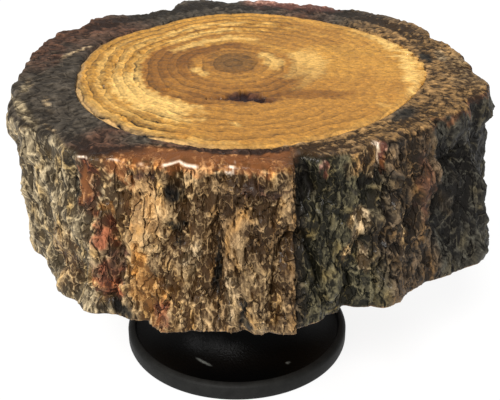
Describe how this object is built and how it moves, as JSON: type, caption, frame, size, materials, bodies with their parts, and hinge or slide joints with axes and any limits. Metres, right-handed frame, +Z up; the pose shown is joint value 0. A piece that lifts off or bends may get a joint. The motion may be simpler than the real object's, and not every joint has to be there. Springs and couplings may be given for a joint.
{
  "type": "bark-edged branch slice on a turned foot",
  "caption": "Sawn slice of a branch with its rough bark on, flat above and below, standing on a dark turned foot, in the form of a rustic knob.",
  "frame": {"origin": "middle of the foot's flat underside", "axes": "+Z up through the foot's axis, +X to the right and -Y towards the side of the bark that has the step in it"},
  "size_m": [0.0488, 0.0473, 0.032],
  "materials": {
    "bark": "rough grey-brown bark under clear lacquer, with orange and red-brown patches",
    "sawn_wood": "sawn end grain under clear lacquer, golden tan with darker heartwood and growth rings",
    "foot_paint": "black paint, dull on the rim and glossy inside it",
    "stud_steel": "plain steel, hidden"
  },
  "bodies": {
    "root": {"bark_slice": "bark", "foot": "foot_paint", "fixing_stud": "stud_steel"}
  },
  "joints": []
}
